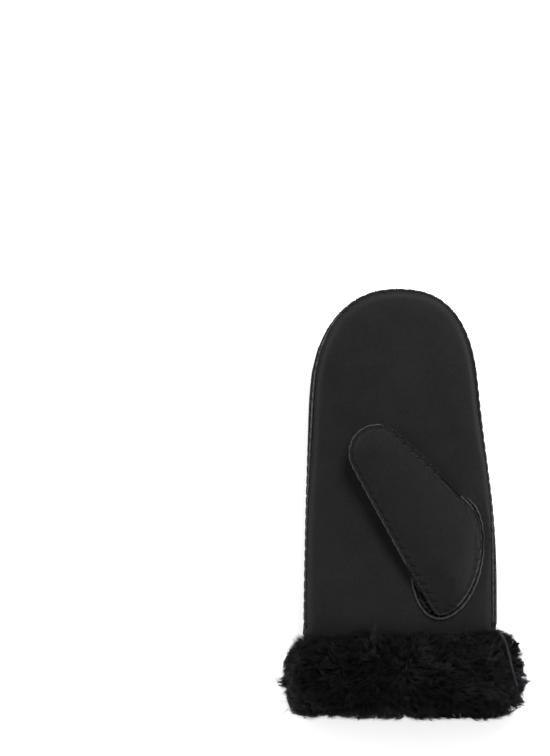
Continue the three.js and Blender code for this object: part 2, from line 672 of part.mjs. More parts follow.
// A bent lock of fur, five-sided and tapered, from its root inside the packed fur to its tip.
const lockSides = 5;
const lockSection = [
  { out: -1, along: -0.1, wide: 1 },
  { out: 0.85, along: 0.35, wide: 0.66 },
];
function lock(root, outward, lean, size) {
  const side = new THREE.Vector3().crossVectors(outward, lean).normalize();
  const across = new THREE.Vector3().crossVectors(outward, side).normalize();
  const place = (out, along) =>
    root.clone().addScaledVector(outward, out * lockHeight * size).addScaledVector(lean, along * lockLength * size);
  const rings = lockSection.map((row) => {
    const middle = place(row.out, row.along);
    return Array.from({ length: lockSides }, (_, k) => {
      const turn = (2 * Math.PI * k) / lockSides;
      const reach = lockRadius * row.wide * size;
      return middle
        .clone()
        .addScaledVector(side, reach * Math.cos(turn))
        .addScaledVector(across, reach * Math.sin(turn));
    });
  });
  const tip = place(0.9, 1);
  const triangles = strips(rings, true);
  for (let k = 0; k < lockSides; k++) triangles.push([rings.at(-1)[k], rings.at(-1)[(k + 1) % lockSides], tip]);
  for (let k = 2; k < lockSides; k++) triangles.push([rings[0][0], rings[0][k], rings[0][k - 1]]);
  return toSolid(triangles);
}

// Staggered rows of locks on the outside of the packed fur. row counts along cuffOutside and
// cuffUnder, between one section point and the next. A lock leans to either side of straight down by
// about turn, give or take spread, both in degrees.
const lockRows = [
  { row: 1.75, start: 0.3, size: 0.85, turn: 75, spread: 20 },
  { row: 2.7, start: 0.8, size: 1, turn: 60, spread: 60 },
  { row: 3.5, start: 0.3, size: 1.05, turn: 90, spread: 80 },
  { row: 4.4, start: 0.8, size: 1.05, turn: 90, spread: 70 },
  { row: 5.3, start: 0.3, size: 0.9, turn: 95, spread: 15 },
];
const lockSpacing = 10.5;
function furHalf(half) {
  const { body, sections } = furBody(half);
  const locks = [];
  lockRows.forEach(({ row, start, size, turn, spread }, r) => {
    const path = sections.map((s) => s.points[Math.floor(row)].clone().lerp(s.points[Math.floor(row) + 1], row % 1));
    const lengths = path.map((p, i) => (i ? p.distanceTo(path[i - 1]) : 0));
    const whole = lengths.reduce((sum, l) => sum + l, 0);
    const margin = lockRadius * 1.25;
    const count = Math.round((whole - 2 * margin) / lockSpacing);
    for (let k = 0; k < count; k++) {
      const run = margin + ((whole - 2 * margin) * (k + start)) / count;
      let [i, before] = [1, 0];
      while (i < path.length - 1 && before + lengths[i] < run) before += lengths[i++];
      const at = (run - before) / lengths[i];
      const root = path[i - 1].clone().lerp(path[i], at);
      if (root.z < 1.5 * lockRadius) continue;
      const next = sections.slice(i - 1, i + 1).map((s) => s.points[Math.floor(row) + 1]);
      const down = next[0].clone().lerp(next[1], at).sub(root).normalize();
      const along = path[i].clone().sub(path[i - 1]).normalize();
      const outward = new THREE.Vector3().crossVectors(along, down).normalize();
      const swirl = turn * Math.sign(Math.sin(2.3 * k + r)) + spread * Math.sin(0.9 * k + 2.1 * r);
      const lean = down.clone().applyAxisAngle(outward, toRadians(swirl));
      locks.push(lock(root, outward, lean, size * (1 + 0.2 * Math.sin(3.1 * k + 5 * r))));
    }
  });
  const joined = wasm.Manifold.union([body, ...locks]).decompose();
  return joined.reduce((most, solid) => (solid.volume() > most.volume() ? solid : most));
}

function toSolid(triangles) {
  const merged = mergeVertices(new THREE.BufferGeometry().setFromPoints(triangles.flat()), 1e-4);
  const mesh = new wasm.Mesh({
    numProp: 3,
    vertProperties: merged.attributes.position.array,
    triVerts: new Uint32Array(merged.index.array),
  });
  return new wasm.Manifold(mesh);
}

function toGeometry(solid) {
  const mesh = solid.getMesh();
  return new THREE.BufferGeometry()
    .setAttribute("position", new THREE.BufferAttribute(mesh.vertProperties, 3))
    .setIndex(new THREE.BufferAttribute(mesh.triVerts, 1));
}

const pieces = [
  ["palm_panel", palmPanel(), suede],
  ["back_panel", backPanel(), suede],
  ["thumb_front", thumbFront(), suede],
  ["thumb_back", thumbBack(), suede],
  ["cuff_front", toGeometry(furHalf("front")), fur],
  ["cuff_back", toGeometry(furHalf("back")), fur],
];

const mitten = new THREE.Group();
mitten.name = "leather_mitten";
const box = new THREE.Box3();
for (const [name, geometry, look] of pieces) {
  geometry.computeBoundingBox();
  box.union(geometry.boundingBox);
  const mesh = new THREE.Mesh(geometry, look);
  mesh.name = name;
  mitten.add(mesh);
}
const middle = box.getCenter(new THREE.Vector3());
for (const mesh of mitten.children) {
  mesh.geometry.translate(-middle.x, -middle.y, -box.min.z);
  mesh.geometry.computeVertexNormals();
}

export default mitten;
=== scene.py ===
"""A black suede shearling mitten with a turned-up fur cuff, laid palm up.

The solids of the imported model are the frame. Each leather panel is a finer copy of its solid, with
raw edges and puckered seams, and whip stitches hold the panels together. The cuff is a packed fleece
with locks of fur grown on it.
"""

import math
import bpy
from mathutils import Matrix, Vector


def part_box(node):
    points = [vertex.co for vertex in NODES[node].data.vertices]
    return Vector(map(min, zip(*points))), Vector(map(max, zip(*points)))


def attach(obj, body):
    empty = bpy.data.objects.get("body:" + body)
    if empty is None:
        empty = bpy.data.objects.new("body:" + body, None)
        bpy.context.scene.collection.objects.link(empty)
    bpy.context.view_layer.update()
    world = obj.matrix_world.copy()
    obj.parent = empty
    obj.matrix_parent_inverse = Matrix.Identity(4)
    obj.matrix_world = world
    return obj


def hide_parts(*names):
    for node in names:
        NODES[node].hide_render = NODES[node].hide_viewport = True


bl_info = {
    "name": "Shearling Mitten",
    "version": (1, 0, 0),
    "blender": (4, 5, 0),
    "location": "View3D > Sidebar > Mitten",
    "description": "Dresses a leather mitten in suede, whip stitches and fur",
    "category": "Object",
}

import bmesh
import bpy
import numpy as np
from mathutils import Vector, kdtree, noise
from mathutils.bvhtree import BVHTree

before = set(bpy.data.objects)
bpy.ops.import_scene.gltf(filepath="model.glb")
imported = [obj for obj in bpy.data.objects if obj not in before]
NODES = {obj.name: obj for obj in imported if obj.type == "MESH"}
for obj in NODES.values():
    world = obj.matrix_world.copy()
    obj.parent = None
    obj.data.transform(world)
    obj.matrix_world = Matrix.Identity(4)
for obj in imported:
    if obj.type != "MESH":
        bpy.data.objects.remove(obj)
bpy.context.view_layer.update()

MM = 0.001
LEATHER = 1.4 * MM  # thickness of every leather panel in the solids
PANELS = ("palm_panel", "back_panel", "thumb_front", "thumb_back")
CUFFS = ("cuff_front", "cuff_back")
STEPS = 12  # places looked at between two stitches

# The raw seam at the thumb side of the turned-up cuff: x, y and top z in millimetres.
CUFF_SEAM = (
    (57.0, -76.5, 24.6),
    (61.2, -83.0, 27.4),
    (63.4, -91.0, 28.6),
    (65.0, -99.0, 29.2),
    (68.4, -110.5, 27.2),
)

# How far from a panel's raw edges its heights are eased, in millimetres.
EASED = {"palm_panel": 9.0, "back_panel": 9.0, "thumb_front": 60.0, "thumb_back": 60.0}

# How far a panel of the hand widens where the cuff covers its seam, in millimetres.
WIDENED = {"palm_panel": 4.2, "back_panel": 2.3}

# How much of a raw edge that is turned to the eye shows its pale cut.
THUMB_CUT, HOLE_CUT, PALM_CUT, BACK_CUT, BACK_LEFT_CUT = 0.75, 0.7, 0.72, 0.7, 0.12
CUFF_CUT = 0.42

# The two halves of a strand, lying or standing: how far each rises from the wool and lies along it.
BENDS = {"lying": ((0.9, 0.6), (0.1, 1.0)), "standing": ((1.0, 0.3), (0.8, 0.5))}

# How far a strand's root, bend and tip are drawn together with its lock's.
GATHERED = {"lying": (0.0, 0.1, 0.25), "standing": (0.0, 0.3, 0.7)}


# Colours and materials


def linear(hex_colour):
    """sRGB hex to linear RGBA."""
    parts = [int(hex_colour[i : i + 2], 16) / 255 for i in (1, 3, 5)]
    return [c / 12.92 if c <= 0.04045 else ((c + 0.055) / 1.055) ** 2.4 for c in parts] + [1.0]


def add_node(material, kind, settings=None, links=None, stops=()):
    """Adds one node, sets its properties and sockets, and links other nodes to it: a node's first
    output, or the one named or numbered with it. A plain number in links is set on the socket.
    Stops are a colour ramp's places and linear colours."""
    node = material.node_tree.nodes.new(kind)
    for key, value in (settings or {}).items():
        if isinstance(key, str) and hasattr(node, key) and key not in node.inputs:
            setattr(node, key, value)
        else:
            node.inputs[key].default_value = value
    for key, source in (links or {}).items():
        if isinstance(source, bpy.types.Node):
            source = (source, 0)
        if isinstance(source, tuple):
            material.node_tree.links.new(source[0].outputs[source[1]], node.inputs[key])
        else:
            node.inputs[key].default_value = source
    for _ in stops[2:]:
        node.color_ramp.elements.new(0.5)
    for place, (position, colour) in enumerate(stops):
        node.color_ramp.elements[place].position = position
        node.color_ramp.elements[place].color = colour
    return node


def new_material(name):
    """An empty node material with its shader, ready to be linked."""
    material = bpy.data.materials.new(name)
    material.use_nodes = True
    return material, material.node_tree.nodes["Principled BSDF"]


def dimmed(colour, share):
    """A linear colour times a share, still opaque."""
    return [part * share for part in colour[:3]] + [1.0]


def suede_material(colours, sizes):
    """Dyed suede: the split flesh side of sheepskin, sanded to a short nap. It scatters light without
    gloss, shows soft cloudy patches where the nap lies differently, and its cut edges stay paler.
    Beside each stitch the thread pulls the nap into a short furrow, painted dark: partly nap crushed by
    the thread, partly painted shade in the groove."""
    material, shader = new_material("black napped suede")
    place = add_node(material, "ShaderNodeTexCoord")
    here = {"Vector": (place, "Object")}
    # Patches of 5 to 25 mm.
    clouds = add_node(
        material,
        "ShaderNodeTexNoise",
        {"Scale": 42.0, "Detail": 5.0, "Roughness": 0.62, "Distortion": 0.5},
        here,
    )
    # Fibres of 0.3 to 1 mm, coarser than real ones so that they show.
    nap = add_node(
        material, "ShaderNodeTexNoise", {"Scale": 1100.0, "Detail": 2.0, "Roughness": 0.7}, here
    )
    # Lint of 1 to 2.5 mm.
    flecks = add_node(
        material, "ShaderNodeTexNoise", {"Scale": 380.0, "Detail": 2.0, "Roughness": 0.8}, here
    )
    base = linear(colours.suede)
    white = [1.0] * 4
    ramp, mix, maths = "ShaderNodeValToRGB", "ShaderNodeMix", "ShaderNodeMath"
    stops = ((0.3, dimmed(base, 0.86)), (0.72, dimmed(base, 1.16)))
    patches = add_node(material, ramp, links={"Fac": clouds}, stops=stops)
    stops = ((0.25, dimmed(white, 0.72)), (0.75, [1.25, 1.25, 1.27, 1.0]))
    grain = add_node(material, ramp, links={"Fac": nap}, stops=stops)
    stops = ((0.7, white), (0.78, [1.7, 1.7, 1.75, 1.0]))
    lint = add_node(material, ramp, links={"Fac": flecks}, stops=stops)
    multiply = {"data_type": "RGBA", "blend_type": "MULTIPLY"}
    napped = add_node(material, mix, multiply, {0: 1.0, 6: patches, 7: grain})
    flecked = add_node(material, mix, multiply, {0: 1.0, 6: (napped, 2), 7: lint})

    # The furrow at each stitch runs aslant, half a pitch over the depth of the stitch. The seam
    # attribute holds the cosine and sine of the turn from stitch to stitch, and the depth in mm.
    depth = sizes.stitch_depth / MM
    soft = {"interpolation_type": "SMOOTHSTEP"}
    seam = add_node(material, "ShaderNodeAttribute", {"attribute_name": "seam"})
    parts = add_node(material, "ShaderNodeSeparateXYZ", links={0: (seam, "Vector")})
    turn = add_node(material, maths, {"operation": "ARCTAN2"}, {0: (parts, 1), 1: (parts, 0)})
    slanted = add_node(
        material, maths, {"operation": "MULTIPLY_ADD"}, {0: (parts, 2), 1: -math.pi / depth, 2: turn}
    )
    wave = add_node(material, maths, {"operation": "COSINE"}, {0: slanted})
    line = add_node(
        material, "ShaderNodeMapRange", {**soft, "From Min": 0.8, "From Max": 0.98}, {"Value": wave}
    )
    near = add_node(
        material, "ShaderNodeMapRange", {**soft, "From Min": 0.8, "From Max": 1.6}, {"Value": (parts, 2)}
    )
    far = add_node(
        material,
        "ShaderNodeMapRange",
        {**soft, "From Min": depth + 0.5, "From Max": depth - 0.2},
        {"Value": (parts, 2)},
    )
    reach = add_node(material, maths, {"operation": "MULTIPLY"}, {0: near, 1: far})
    furrow = add_node(material, maths, {"operation": "MULTIPLY"}, {0: line, 1: reach})
    # The furrow is painted dark: partly crushed nap, partly painted shade in the groove.
    dark = add_node(material, maths, {"operation": "MULTIPLY"}, {0: furrow, 1: 0.8})
    crushed_nap_and_shade = add_node(
        material, mix, {"data_type": "RGBA"}, {0: dark, 6: (flecked, 2), 7: linear(colours.thread)}
    )

    # A raw edge is pale and frayed above 0. Below 0 shade is painted dark: in the gap under the
    # thumb's upper edge, and on the palm beside the cuff.
    raw = add_node(material, "ShaderNodeAttribute", {"attribute_name": "raw_edge"})
    stops = ((0.3, dimmed(white, 0.35)), (0.55, white))
    fray = add_node(material, ramp, links={"Fac": flecks}, stops=stops)
    painted_shade_share = add_node(material, maths, {"operation": "MULTIPLY"}, {0: (raw, "Fac"), 1: -0.9})
    painted_shade_mix = add_node(
        material, mix, {"data_type": "RGBA"}, {0: painted_shade_share, 6: (crushed_nap_and_shade, 2), 7: linear(colours.thread)}
    )
    pale = add_node(material, maths, {"operation": "MULTIPLY"}, {0: (raw, "Fac"), 1: fray})
    cut = add_node(
        material, mix, {"data_type": "RGBA"}, {0: pale, 6: (painted_shade_mix, 2), 7: linear(colours.raw_edge)}
    )
    material.node_tree.links.new(cut.outputs[2], shader.inputs["Base Color"])

    # Between two furrows the leather swells a little.
    risen = add_node(material, maths, {"operation": "MULTIPLY"}, {0: far, 1: -0.25})
    swelling = add_node(material, maths, {"operation": "MULTIPLY"}, {0: wave, 1: risen})
    dip = add_node(material, maths, {"operation": "MULTIPLY_ADD"}, {0: furrow, 1: -0.6, 2: swelling})
    rough = add_node(material, maths, {"operation": "MULTIPLY_ADD"}, {0: nap, 1: 0.3, 2: dip})
    bump = add_node(
        material, "ShaderNodeBump", {"Strength": 0.8, "Distance": 0.7 * MM}, {"Height": rough}
    )
    material.node_tree.links.new(bump.outputs["Normal"], shader.inputs["Normal"])
    shader.inputs["Roughness"].default_value = 0.95
    shader.inputs["Specular IOR Level"].default_value = 0.12
    shader.inputs["Sheen Weight"].default_value = 0.04
    shader.inputs["Sheen Roughness"].default_value = 0.5
    return material


def fur_material(colours):
    """Dyed sheepskin wool: each hair is dark and smooth, so locks show as soft grey glints. The tone
    is painted light and shade: dark at the roots, where the hairs shade them, and lighter at the
    tips, where the light falls."""
    material, shader = new_material("black dyed wool")
    tone = add_node(material, "ShaderNodeAttribute", {"attribute_name": "tone"})
    steps = ((0.0, "fur_root"), (0.44, "fur"), (0.8, "fur_tip"), (1.0, "fur_pale"))
    stops = [(at, linear(getattr(colours, name))) for at, name in steps]
    hair = add_node(material, "ShaderNodeValToRGB", links={"Fac": (tone, "Fac")}, stops=stops)
    material.node_tree.links.new(hair.outputs["Color"], shader.inputs["Base Color"])
    shader.inputs["Roughness"].default_value = 0.75
    shader.inputs["Specular IOR Level"].default_value = 0.2
    return material


def fleece_material(colours):
    """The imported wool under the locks, matted and dull. Its curls are 2 to 3 mm wide."""
    material, shader = new_material("packed black wool")
    place = add_node(material, "ShaderNodeTexCoord")
    curls = add_node(
        material,
        "ShaderNodeTexNoise",
        {"Scale": 420.0, "Detail": 4.0, "Roughness": 0.65, "Distortion": 1.5},
        {"Vector": (place, "Object")},
    )
    stops = ((0.2, linear(colours.fur_root)), (0.6, linear(colours.fur)))
    shade = add_node(material, "ShaderNodeValToRGB", links={"Fac": curls}, stops=stops)
    material.node_tree.links.new(shade.outputs["Color"], shader.inputs["Base Color"])
    bump = add_node(
        material, "ShaderNodeBump", {"Strength": 0.8, "Distance": 1.0 * MM}, {"Height": curls}
    )
    material.node_tree.links.new(bump.outputs["Normal"], shader.inputs["Normal"])
    shader.inputs["Roughness"].default_value = 0.9
    return material


def thread_material(colours):
    """Waxed nylon thread: black, twisted and slightly glossy."""
    material, shader = new_material("waxed black thread")
    place = add_node(material, "ShaderNodeTexCoord")
    # The twist's turns are 0.4 mm apart.
    twist = add_node(
        material, "ShaderNodeTexNoise", {"Scale": 2500.0, "Detail": 1.0}, {"Vector": (place, "Object")}
    )
    base = linear(colours.thread)
    stops = ((0.3, base), (0.8, dimmed(base, 1.6)))
    shade = add_node(material, "ShaderNodeValToRGB", links={"Fac": twist}, stops=stops)
    material.node_tree.links.new(shade.outputs["Color"], shader.inputs["Base Color"])
    shader.inputs["Roughness"].default_value = 0.5
    return material


# Meshes


def show_mesh(name, mesh, material, body="root"):
    """Puts a mesh in the scene as a piece that rides on the mitten."""
    obj = bpy.data.objects.new(name, mesh)
    bpy.context.scene.collection.objects.link(obj)
    mesh.materials.clear()
    mesh.materials.append(material)
    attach(obj, body)
    return obj


def merged_copy(node):
    """A copy of a solid's mesh with its loose triangles joined."""
    mesh = bmesh.new()
    mesh.from_mesh(NODES[node].data)
    bmesh.ops.remove_doubles(mesh, verts=mesh.verts, dist=1e-6)
    return mesh


def runs_through(edge):
    """True for a short edge that runs through the leather from its one face to the other."""
    if abs(edge.calc_length() - LEATHER) > 2e-6:
        return False
    first, last = edge.verts
    step = (last.co - first.co).normalized()
    return first.normal.dot(step) < -0.1 and last.normal.dot(step) > 0.1


def rim_lines(mesh):
    """The raw edges of a leather panel, each a closed line along the middle of its thickness, with
    the leather on its left. A line has arrays: middle, inward (into the panel) and through."""
    mesh.normal_update()
    rungs = [e for e in mesh.edges if runs_through(e)]
    owner = {}
    for rung in rungs:
        for vert in rung.verts:
            owner.setdefault(vert, []).append(rung)
    owner = {vert: found[0] for vert, found in owner.items() if len(found) == 1}
    neighbours = {rung: [] for rung in rungs}
    for rung in rungs:
        for face in rung.link_faces:
            for vert in face.verts:
                if vert not in rung.verts and owner.get(vert, rung) is not rung:
                    neighbours[rung].append(owner[vert])
                    neighbours[owner[vert]].append(rung)
    lines, seen = [], set()
    for rung in rungs:
        chain, here = [], rung
        while here is not None and here not in seen:
            seen.add(here)
            chain.append(here)
            here = next((n for n in neighbours[here] if n not in seen), None)
        if len(chain) > 20:
            lines.append(rim_line(chain))
    return lines


def rim_line(chain):
    middle = np.array([(r.verts[0].co + r.verts[1].co) / 2 for r in chain])
    through = np.array([(r.verts[1].co - r.verts[0].co).normalized() for r in chain])
    for i in range(1, len(through)):
        if np.dot(through[i], through[i - 1]) < 0:
            through[i] *= -1
    along = np.roll(middle, -1, 0) - np.roll(middle, 1, 0)
    inward = unit(np.cross(along, through))
    body = []
    for r in chain:
        around = [f.calc_center_median() for v in r.verts for f in v.link_faces if r not in f.edges]
        body.append(sum(around, Vector()) / len(around))
    inward *= np.where(np.einsum("ij,ij->i", inward, np.array(body) - middle) < 0, -1.0, 1.0)[:, None]
    line = {"middle": middle, "inward": inward, "through": through}
    if np.cross(along, inward)[:, 2].sum() < 0:
        line = {key: values[::-1] for key, values in line.items()}
    return line


def line_length(line):
    return np.linalg.norm(np.roll(line["middle"], -1, 0) - line["middle"], axis=1).sum()


def resample(line, count):
    """A closed line's places, evenly spaced, with the direction along it."""
    middle = line["middle"]
    lengths = np.linalg.norm(np.roll(middle, -1, 0) - middle, axis=1)
    run = np.concatenate([[0], np.cumsum(lengths)])
    at = np.arange(count) * run[-1] / count
    result = {}
    for key, values in line.items():
        closed = np.vstack([values, values[:1]])
        column = np.stack([np.interp(at, run, closed[:, k]) for k in range(3)], axis=1)
        result[key] = column if key == "middle" else unit(column)
    result["along"] = unit(np.roll(result["middle"], -1, 0) - np.roll(result["middle"], 1, 0))
    return result


def finely(line):
    return resample(line, int(line_length(line) / (0.4 * MM)))


def unit(vectors):
    return vectors / np.maximum(np.linalg.norm(vectors, axis=1), 1e-9)[:, None]


def point_tree(points):
    tree = kdtree.KDTree(len(points))
    for i, p in enumerate(points):
        tree.insert(p, i)
    tree.balance()
    return tree


def sewn_seams(sizes):
    """Every sewn place of two raw edges: each edge's place and inward direction, the direction along
    the seam, and how far it is round from one stitch to the next."""
    rims = {}
    for name in PANELS:
        mesh = merged_copy(name)
        rims[name] = rim_lines(mesh)
        mesh.free()
    partners = {
        "palm_panel": ("back_panel", "thumb_front", "thumb_back"),
        "thumb_front": ("thumb_back",),
    }
    seams = []
    for name, others in partners.items():
        edges = [(other, finely(line)) for other in others for line in rims[other]]
        places = np.vstack([edge["middle"] for _, edge in edges])
        inwards = np.vstack([edge["inward"] for _, edge in edges])
        names = [other for other, edge in edges for _ in edge["middle"]]
        tree = point_tree(places)
        for line in rims[name]:
            stitches = round(line_length(line) / sizes.stitch_pitch)
            even = resample(line, stitches * STEPS)
            for i, middle in enumerate(even["middle"]):
                _, near, distance = tree.find(middle)
                if distance < 5.2 * MM and np.dot(inwards[near], even["inward"][i]) > -0.2:
                    seams.append(
                        {
                            "owner": name,
                            "partner": names[near],
                            "a": middle,
                            "a_in": even["inward"][i],
                            "b": places[near],
                            "b_in": inwards[near],
                            "along": even["along"][i],
                            "step": i % STEPS,
                        }
                    )
    return seams


def tubes(paths, radius, sides, name):
    """One closed mesh of round threads, one for each path of points."""
    verts, faces = [], []
    turns = np.arange(sides) * 2 * math.pi / sides
    for path in paths:
        path = np.asarray(path)
        along = np.gradient(path, axis=0)
        along /= np.linalg.norm(along, axis=1)[:, None]
        side = np.cross(along[0], [0.3, 0.2, 0.93])
        first = len(verts)
        for point, direction in zip(path, along):
            side = side - direction * np.dot(side, direction)
            side /= np.linalg.norm(side)
            up = np.cross(direction, side)
            verts.extend(point + radius * (math.cos(t) * side + math.sin(t) * up) for t in turns)
        for r in range(len(path) - 1):
            for k in range(sides):
                a, b = first + r * sides + k, first + r * sides + (k + 1) % sides
                faces.append((a, b, b + sides, a + sides))
        faces.append(tuple(first + k for k in reversed(range(sides))))
        faces.append(tuple(first + (len(path) - 1) * sides + k for k in range(sides)))
    mesh = bpy.data.meshes.new(name)
    mesh.from_pydata([tuple(v) for v in verts], [], faces)
    mesh.shade_smooth()
    return mesh


# Leather


def smooth(t):
    t = np.clip(t, 0, 1)
    return t * t * (3 - 2 * t)


def edge_shows(name, place, inward):
    """How far a raw edge lies open to the eye, from 0 to 1: one that is turned down keeps the suede's
    dark nap. At -1 shade is painted: the gap under the thumb's upper edge is painted darker still."""
    x, y = place[0] / MM, place[1] / MM
    out = -np.array(inward[:2]) / max(np.linalg.norm(inward[:2]), 1e-9)
    if name == "thumb_back":
        return 0.0
    if name == "thumb_front":
        # Painted shade in the gap under the thumb's upper edge, darker than the nap.
        if out[0] > 0.1 and y > 3.5:
            return -1.0
        # Low in the slot the thumb's edge lies turned down and in shade. Its pale cut is left out there,
        # partly as painted shade.
        return 0.0 if (x < 26 and y < -37) or (x < 32 and y < -55) else THUMB_CUT
    if name == "palm_panel" and abs(x - 22) < 26 and -75 < y < 20:
        return HOLE_CUT * float(smooth((4 - y) / 3))
    on_the_tip = float(smooth((out[1] - 0.55) / 0.35))
    if name == "palm_panel":
        shoulder = float(smooth((y - 45) / 25)) if out[0] > 0 else 0.0
        upper_left = float(smooth((y + 20) / 40)) if out[0] < 0 else 0.0
        return (1 - on_the_tip) * (1 - 0.85 * shoulder) * (PALM_CUT + (1 - PALM_CUT) * upper_left)
    return BACK_LEFT_CUT if out[0] < 0 else float(smooth((20 - y) / 30)) * BACK_CUT


def at_the_hole(seam):
    """True for a seam between the palm and the thumb."""
    return seam["owner"] == "palm_panel" and seam["partner"] != "back_panel"


def drawn_together(seam, sizes):
    """How far the stitches draw a seam's first raw edge to the second."""
    across = seam["b"] - seam["a"]
    apart = np.linalg.norm(across)
    spacing = sizes.hole_spacing if at_the_hole(seam) else sizes.seam_spacing
    return across / apart * min(max(0.0, apart - spacing) / 2, 0.9 * MM)


def fine_panel(name, sizes):
    """A finer mesh of one leather panel, with its raw edges kept sharp."""
    mesh = merged_copy(name)
    rim_tree = point_tree(np.vstack([finely(line)["middle"] for line in rim_lines(mesh)]))
    bmesh.ops.join_triangles(
        mesh, faces=mesh.faces, angle_face_threshold=0.6, angle_shape_threshold=1.2, cmp_seam=False
    )
    crease = mesh.edges.layers.float.new("crease_edge")
    for edge in mesh.edges:
        if len(edge.link_faces) == 2 and edge.calc_face_angle(0) > 0.9 and edge.calc_length() > 1.6 * MM:
            if all(rim_tree.find(v.co)[2] < 0.9 * MM for v in edge.verts):
                edge[crease] = 0.85
    data = bpy.data.meshes.new(name + "_suede")
    mesh.to_mesh(data)
    mesh.free()
    panel = bpy.data.objects.new(name + "_suede", data)
    bpy.context.scene.collection.objects.link(panel)
    finer = panel.modifiers.new("finer", "SUBSURF")
    finer.levels = finer.render_levels = sizes.leather_levels
    bpy.context.view_layer.objects.active = panel
    bpy.ops.object.modifier_apply(modifier="finer")
    return panel, rim_tree


def swell(edges, places, depth, wrist_reach, sizes):
    """How the filled body of the hand swells out level over the flange of its side seam, and reaches
    as far as the flange does above the cuff where the cuff covers the seam."""
    tree = point_tree([e[0] for e in edges])
    moves = np.zeros_like(places)
    for i, place in enumerate(places):
        _, near, distance = tree.find(place)
        if distance < 20 * MM:
            out = -np.array([*edges[near][1][:2], 0.0])
            out /= max(np.linalg.norm(out), 1e-9)
            far = distance / MM
            share = smooth((far - 1.2) / 2.0) * (1 - smooth((far - 4) / 15))
            share *= smooth((depth[i] - 1.0) / 2.5)
            share *= 1 - 0.35 * smooth((place[1] / MM - 20) / 40) * (out[0] > -0.7)
            wrist = min(max((-73.4 - place[1] / MM) / 4.8, 0.0), 1.0) * (1 - smooth(far / 18))
            moves[i] = out * float(max(share * sizes.swelling, wrist * wrist_reach * MM))
    return moves


def finish_panel(name, seams, sizes, material):
    """One leather panel: softly uneven, eased down to its seams and pulled in at each stitch. Its
    attributes say where the raw edges are, where shade is painted dark (in the gap under the thumb's
    upper edge, and on the palm beside the cuff), and how each place lies to the stitches."""
    panel, rim_tree = fine_panel(name, sizes)
    fine = bmesh.new()
    fine.from_mesh(panel.data)
    for _ in range(3):
        near = {v for v in fine.verts if rim_tree.find(v.co)[2] < 5.5 * MM}
        long = [e for e in fine.edges if e.calc_length() > 1.5 * MM and all(v in near for v in e.verts)]
        if long:
            bmesh.ops.subdivide_edges(fine, edges=long, cuts=1, use_grid_fill=True)
    bmesh.ops.triangulate(fine, faces=[f for f in fine.faces if len(f.verts) > 4])
    places = np.array([v.co for v in fine.verts])
    fine.verts.index_update()
    depth = np.array([rim_tree.find(p)[2] for p in places]) / MM

    # Ease the step between the seam's flange and the body of the mitten: heights only, each
    # neighbour counting by its nearness.
    pairs = np.array([[v.index for v in e.verts] for e in fine.edges])
    nearness = 1 / np.maximum([e.calc_length() for e in fine.edges], 0.1 * MM)
    total = np.bincount(pairs.ravel(), np.repeat(nearness, 2), len(places))
    reach = EASED[name]
    ease = 0.8 * smooth((depth - 0.8) / 0.9) * (1 - smooth((depth - 0.4 * reach) / (0.6 * reach)))
    for _ in range(sizes.easing):
        sums = np.bincount(pairs[:, 0], places[pairs[:, 1], 2] * nearness, len(places))
        sums += np.bincount(pairs[:, 1], places[pairs[:, 0], 2] * nearness, len(places))
        places[:, 2] += ease * (sums / total - places[:, 2])

    # Soft unevenness of a worked skin, none at the seams or where it lies on the table.
    free = smooth((depth - 2.5) / 10) * smooth((places[:, 2] / MM - 1.5) / 4)
    for spread, height in ((34, 0.45), (13, 0.16)):
        lift = np.array([noise.noise(Vector(p) / (spread * MM)) for p in places])
        places[:, 2] += free * lift * height * MM

    edges = [(s["a"], s["a_in"], s, 1) for s in seams if s["owner"] == name]
    edges += [(s["b"], s["b_in"], s, -1) for s in seams if s["partner"] == name]
    if name in WIDENED:
        places += swell([e for e in edges if not at_the_hole(e[2])], places, depth, WIDENED[name], sizes)
    seam_tree = point_tree([e[0] for e in edges])
    inwards = np.array([e[1] for e in edges])
    together = np.array([drawn_together(e[2], sizes) * e[3] for e in edges])
    shows = np.array([edge_shows(name, e[0], e[1]) for e in edges])
    turns = np.array([e[2]["step"] * 2 * math.pi / STEPS for e in edges])
    signs = np.array([e[3] for e in edges])
    sewn = np.array([e[3] < 0 or not at_the_hole(e[2]) for e in edges])
    raw = fine.verts.layers.float.new("raw_edge")
    seam = fine.verts.layers.float_vector.new("seam")
    for vert, place, down in zip(fine.verts, places, depth):
        _, i, distance = seam_tree.find(place)
        if distance < 9 * MM:
            pull = max(0.0, math.cos(turns[i])) ** 2 * (1 - smooth((down - 0.6) / 2.5))
            place = place + inwards[i] * float(pull) * sizes.pucker
            place = place + together[i] * float(1 - smooth((down - 0.8) / 3.2))
            vert[seam] = (math.cos(turns[i]), signs[i] * math.sin(turns[i]), down if sewn[i] else 99.0)
            # A value below 0 is painted shade, as in the gap under the thumb's upper edge.
            vert[raw] = float(shows[i] * (1 - smooth((down - 0.2) / (0.45 if shows[i] > 0 else 1.2))))
        else:
            vert[seam] = (-1.0, 0.0, 99.0)
        # Painted shade: the palm is painted darker towards the cuff, where the fur shades it.
        if name == "palm_panel" and vert[raw] <= 0:
            painted_shade_at_cuff = float(smooth((-65 - place[1] / MM) / 13))
            vert[raw] = min(vert[raw], -sizes.painted_cuff_shade * painted_shade_at_cuff)
        vert.co = place
    fine.to_mesh(panel.data)
    fine.free()
    panel.data.materials.clear()
    panel.data.materials.append(material)
    bpy.ops.object.select_all(action="DESELECT")
    panel.select_set(True)
    bpy.context.view_layer.objects.active = panel
    bpy.ops.object.shade_smooth_by_angle(angle=math.radians(55))
    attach(panel, "root")
    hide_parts(name)
    return panel


